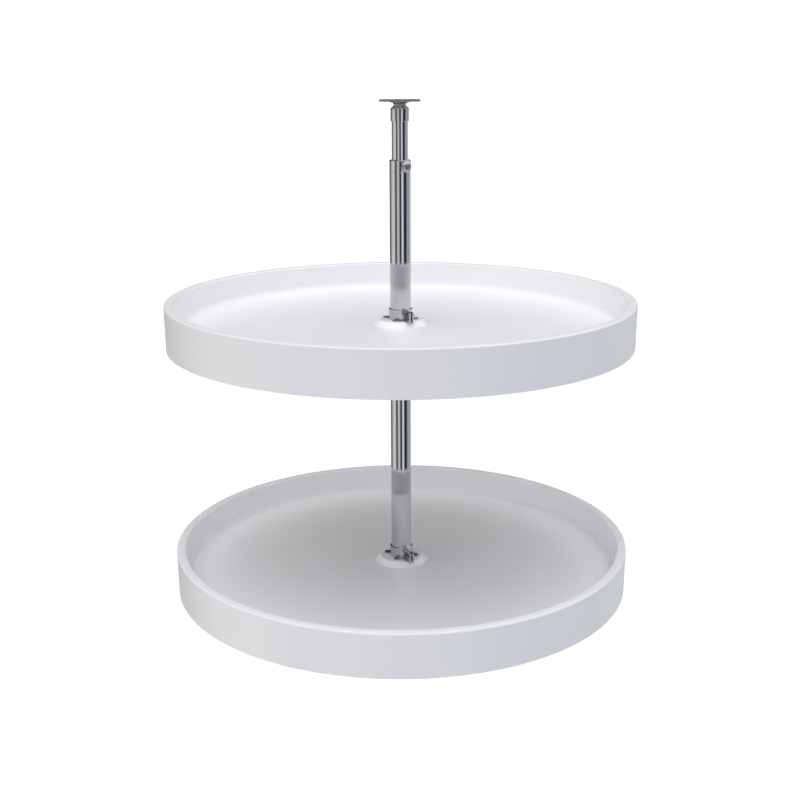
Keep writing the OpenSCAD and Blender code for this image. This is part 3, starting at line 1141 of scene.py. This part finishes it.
@dataclass
class Mounts:
    """Base and top plates with their pivots, washer and clip."""

    nodes: Mapping[str, Object]
    finishes: Finishes
    plate_t: float = 2.5
    plate_edge: float = 0.35
    top: float = 766.0
    rivet_r: float = 5.0
    flare_r: float = 16.75
    neck_r: float = 9.2
    neck_low: float = 6.2
    neck_high: float = 7.4
    # Plain stretch of the neck below the flare's end.
    neck_plain: float = 0.3
    pin_r: float = 6.0
    pin_end: float = 29.4
    pin_chamfer: float = 1.0
    groove_low: float = 21.3
    groove_high: float = 22.6
    washer_bore_r: float = 6.05
    # Just under the plug that turns on the washer.
    washer_high: float = 8.38
    # The flare sinks in towards the neck: share of its width left, and of its height gone.
    flare_curve: Pairs = (
        (1.0, 0.16), (0.80, 0.25), (0.58, 0.38), (0.38, 0.55), (0.19, 0.76), (0.05, 0.94),
    )
    steps: int = 96

    def pivot(self, grooved: bool) -> Shape:
        """Turns a flared pivot, standing on Z = 0 with its pin upwards.

        Args:
            grooved: Whether the pin has the groove for the clip.

        Returns:
            The pivot.
        """
        spread, rise = self.flare_r - self.neck_r, self.neck_low - self.plate_t
        flare = [
            Corner(self.neck_r + spread * width, self.plate_t + rise * height)
            for width, height in self.flare_curve
        ]
        groove = [
            Corner(self.pin_r, self.groove_low),
            Corner(self.rivet_r, self.groove_low),
            Corner(self.rivet_r, self.groove_high),
            Corner(self.pin_r, self.groove_high),
        ]
        return Shape.turned(
            [
                Corner(0.0, 0.0),
                Corner(self.rivet_r, 0.0),
                Corner(self.rivet_r, self.plate_t),
                Corner(self.flare_r, self.plate_t),
                *flare,
                Corner(self.neck_r, self.neck_low + self.neck_plain),
                Corner(self.neck_r, self.neck_high, KEEN_EDGE),
                Corner(self.pin_r, self.neck_high),
                *(groove if grooved else []),
                Corner(self.pin_r, self.pin_end - self.pin_chamfer, BROKEN_EDGE),
                Corner(self.pin_r - self.pin_chamfer, self.pin_end, BROKEN_EDGE),
                Corner(0.0, self.pin_end),
            ],
            self.steps,
        )

    def build(self) -> None:
        """Builds the plates, pivots and washer, and dresses the clip."""
        for name, body in (("base", Body.BASE), ("top", Body.TOP_MOUNT)):
            plate = f"{name}_plate"
            Shape.from_node(self.nodes[plate]).softened(self.plate_edge).piece(
                f"{plate}_stamping", body, Slot.SHEET, self.finishes.sheet, [plate],
                smooth_deg=40,
            )
        self.pivot(grooved=False).piece(
            "base_pivot_turned", Body.BASE, Slot.SHEET, self.finishes.sheet, ["base_pivot"]
        )
        hang = Matrix.Translation((0.0, 0.0, self.top)) @ rotation(180, "X")
        self.pivot(grooved=True).moved(hang).piece(
            "top_pivot_turned", Body.TOP_MOUNT, Slot.SHEET, self.finishes.sheet, ["top_pivot"]
        )
        Shape.ring(
            self.washer_bore_r, self.neck_r, self.neck_high, self.washer_high,
            self.steps, FINE_EDGE, FINE_EDGE,
        ).piece(
            "thrust_washer_moulded", Body.BASE, Slot.NYLON, self.finishes.nylon,
            ["base_thrust_washer"],
        )
        dress_node(self.nodes["pivot_clip"], self.finishes.spring)


# ---- Studio ----


@dataclass(frozen=True)
class PhotoCamera:
    """Pinhole camera that lays both tray rims and the post over the photograph's."""

    lens_mm: float = 53.80
    sensor_mm: float = 36.0
    place: tuple[float, float, float] = (-0.001357, -1.80059, 0.80202)
    pitch_deg: float = 74.746
    roll_deg: float = -0.217

    def build(self) -> None:
        """Makes the camera and sets it as the scene's."""
        data = bpy.data.cameras.new("photo_camera")
        data.lens, data.sensor_width = self.lens_mm, self.sensor_mm
        camera = bpy.data.objects.new("photo_camera", data)
        bpy.context.scene.collection.objects.link(camera)
        camera.matrix_world = (
            Matrix.Translation(self.place)
            @ rotation(self.pitch_deg, "X")
            @ rotation(self.roll_deg, "Z")
        )
        bpy.context.scene.camera = camera


@dataclass(frozen=True)
class Studio:
    """White sweep under a ring of soft light panels, with dark flags between them."""

    # Bearing from the camera's side in degrees, right positive; light level; tint.
    panels: Panels = (
        (-180, 0.30, "FFFFFF"), (-158, 0.40, "FFFFFF"), (-150, 0.24, "FFF6EE"),
        (-118, 0.24, "FFF6EE"), (-110, 0.60, "FFF8F2"), (-94, 0.98, "FFF8F2"),
        (-62, 0.98, "FFF8F2"), (-57, 0.17, "F4F4F4"), (-37, 0.17, "F4F4F4"),
        (-32, 0.88, "EEF4F8"), (-12, 0.88, "EEF4F8"), (-6, 0.10, "E8F2F8"),
        (11, 0.05, "E8F2F8"), (15, 1.02, "F2F7FF"), (34, 1.02, "F2F7FF"),
        (40, 0.05, "F0F4FF"), (67, 0.05, "F0F4FF"), (75, 0.36, "F4F8FF"),
        (84, 0.62, "F4F8FF"), (98, 0.60, "F4F8FF"), (104, 0.44, "F4F8FF"),
        (112, 0.50, "F4F8FF"), (122, 0.86, "F8FAFF"), (150, 0.86, "F8FAFF"),
        (160, 0.40, "FFFFFF"), (180, 0.30, "FFFFFF"),
    )
    # Panels overhead, as the trays' gloss shows them.
    high_panels: Panels = (
        (-180, 0.02, "FFFFFF"), (-120, 0.42, "FFFFFF"), (-60, 0.30, "FFFFFF"),
        (0, 1.60, "FFFFFF"), (60, 1.75, "F8FFFF"), (120, 2.0, "FFFFFF"),
        (180, 0.02, "FFFFFF"),
    )
    # The light that a matt surface gathers.
    soft_panels: Panels = (
        (-180, 0.02, "FFFFFF"), (-120, 0.90, "F0F0FF"), (-90, 1.45, "F8F5F8"),
        (-60, 1.62, "FFFAF0"), (0, 1.63, "EEF0FF"), (60, 0.96, "F0FBFF"),
        (90, 1.20, "F8FAFB"), (120, 1.11, "FFFAF6"), (180, 0.02, "FFFFFF"),
    )
    # Level by height: elevation in degrees and gain.
    low_heights: Pairs = (
        (-90, 0.15), (-50, 0.2), (-32, 1.0), (-2, 1.0), (2, 0.0), (90, 0.0),
    )
    high_heights: Pairs = (
        (-90, 0.0), (-2, 0.0), (10, 0.15), (25, 0.82), (45, 0.96), (70, 0.15), (90, 0.45),
    )
    soft_heights: Pairs = (
        (-90, 2.1), (-45, 0.58), (-15, 0.0), (0, 0.16), (12, 1.2), (25, 0.2), (40, 0.53),
        (60, 1.27), (90, 2.68),
    )
    white: float = 1.15
    sweep_m: float = 5.0
    sweep_steps: int = 96
    sweep_glow: float = 0.97
    sweep_albedo: float = 0.12

    def ring(self, tree: NodeTree, panels: Panels, heights: Pairs) -> NodeSocket:
        """Adds one ring of light to the world.

        Args:
            tree: The world's node tree.
            panels: Bearing, level and tint of each stop.
            heights: Elevation and gain of each stop.

        Returns:
            The colour socket of the ring's light.
        """
        way = add_node(tree, "ShaderNodeTexCoord").outputs["Generated"]
        split = add_node(tree, "ShaderNodeSeparateXYZ", {"Vector": way})
        toward = add_node(
            tree, "ShaderNodeMath", {0: split.outputs["Y"], 1: -1.0}, operation="MULTIPLY"
        )
        bearing = add_node(
            tree, "ShaderNodeMath",
            {0: split.outputs["X"], 1: toward.outputs[0]}, operation="ARCTAN2",
        )
        share = add_node(
            tree, "ShaderNodeMapRange",
            {"Value": bearing.outputs[0], "From Min": -math.pi, "From Max": math.pi},
        )
        around = add_node(tree, "ShaderNodeValToRGB", {"Fac": share.outputs["Result"]})
        set_stops(
            around.color_ramp,
            [
                ((angle + 180) / 360, [level * part for part in linear(tint)[:3]] + [1.0])
                for angle, level, tint in panels
            ],
        )
        rise = add_node(
            tree, "ShaderNodeMapRange",
            {"Value": split.outputs["Z"], "From Min": -1.0, "From Max": 1.0},
        )
        upward = add_node(tree, "ShaderNodeValToRGB", {"Fac": rise.outputs["Result"]})
        set_stops(
            upward.color_ramp,
            [
                ((math.sin(math.radians(angle)) + 1) / 2, (gain, gain, gain, 1.0))
                for angle, gain in heights
            ],
        )
        light = add_node(
            tree, "ShaderNodeMix",
            {0: 1.0, 6: around.outputs["Color"], 7: upward.outputs["Color"]},
            data_type="RGBA", blend_type="MULTIPLY",
        )
        return light.outputs[2]

    def build_world(self) -> None:
        """Makes the light around the object, plain white behind it."""
        world = bpy.data.worlds.new("studio")
        bpy.context.scene.world = world
        world.use_nodes = True
        tree = world.node_tree
        tree.nodes.clear()
        low = self.ring(tree, self.panels, self.low_heights)
        high = self.ring(tree, self.high_panels, self.high_heights)
        gloss = add_node(
            tree, "ShaderNodeMix", {0: 1.0, 6: low, 7: high}, data_type="RGBA", blend_type="ADD"
        ).outputs[2]
        soft = self.ring(tree, self.soft_panels, self.soft_heights)
        path = add_node(tree, "ShaderNodeLightPath")
        lit = add_node(
            tree, "ShaderNodeMix",
            {0: path.outputs["Is Glossy Ray"], 6: soft, 7: gloss}, data_type="RGBA",
        )
        white = (self.white, self.white, self.white, 1.0)
        seen = add_node(
            tree, "ShaderNodeMix",
            {0: path.outputs["Is Camera Ray"], 6: lit.outputs[2], 7: white}, data_type="RGBA",
        )
        sky = add_node(tree, "ShaderNodeBackground", {"Color": seen.outputs[2], "Strength": 1.0})
        add_node(tree, "ShaderNodeOutputWorld", {"Surface": sky.outputs[0]})

    def build_sweep(self) -> None:
        """Makes the plain white floor that the set stands on."""
        bm = bmesh.new()
        bmesh.ops.create_circle(
            bm, cap_ends=True, segments=self.sweep_steps, radius=self.sweep_m
        )
        mesh = bpy.data.meshes.new("studio_sweep")
        bm.to_mesh(mesh)
        bm.free()
        sweep = bpy.data.objects.new("studio_sweep", mesh)
        bpy.context.scene.collection.objects.link(sweep)
        # Paper lit from all round burns out to plain white, with the faintest shade on it.
        material = bpy.data.materials.new("White paper sweep")
        material.use_nodes = True
        tree = material.node_tree
        tree.nodes.clear()
        glow = add_node(
            tree, "ShaderNodeEmission",
            {"Color": (1.0, 1.0, 1.0, 1.0), "Strength": self.sweep_glow},
        )
        paper = add_node(
            tree, "ShaderNodeBsdfDiffuse",
            {"Color": (self.sweep_albedo, self.sweep_albedo, self.sweep_albedo, 1.0)},
        )
        both = add_node(tree, "ShaderNodeAddShader", {0: glow.outputs[0], 1: paper.outputs[0]})
        add_node(tree, "ShaderNodeOutputMaterial", {"Surface": both.outputs[0]})
        mesh.materials.append(material)
        sweep.visible_glossy = False
        sweep.visible_diffuse = False
        sweep.visible_shadow = False
        sweep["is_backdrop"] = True

    def build(self) -> None:
        """Makes the world and the floor, with colours shown as they are."""
        bpy.context.scene.view_settings.view_transform = "Standard"
        self.build_world()
        self.build_sweep()


def corners() -> list[list[float]]:
    """Returns the lowest and highest corner of what shows, in metres."""
    bpy.context.view_layer.update()
    return [list(corner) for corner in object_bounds()]


def main() -> None:
    """Builds the studio and every sub-assembly, and reports each piece."""
    logging.basicConfig(level=logging.INFO, format="%(message)s")
    cad_box = corners()
    PhotoCamera().build()
    Studio().build()
    nodes, finishes = frame["nodes"], Finishes()
    lower = ShelfTray(finishes, "lower", Body.LOWER_SHELF, lift=20.0)
    upper = ShelfTray(finishes, "upper", Body.UPPER_SHELF, lift=407.3)
    moulding = lower.shape()
    upper.build(moulding.copy())
    lower.build(moulding)
    HubClamp(nodes, finishes, "lower", Body.LOWER_SHELF, lift=53.0).build()
    HubClamp(nodes, finishes, "upper", Body.UPPER_SHELF, lift=440.3).build()
    TelescopingPost(nodes, finishes).build()
    Mounts(nodes, finishes).build()
    {"cad": cad_box, "visual": corners()}


if __name__ == "__main__":
    main()
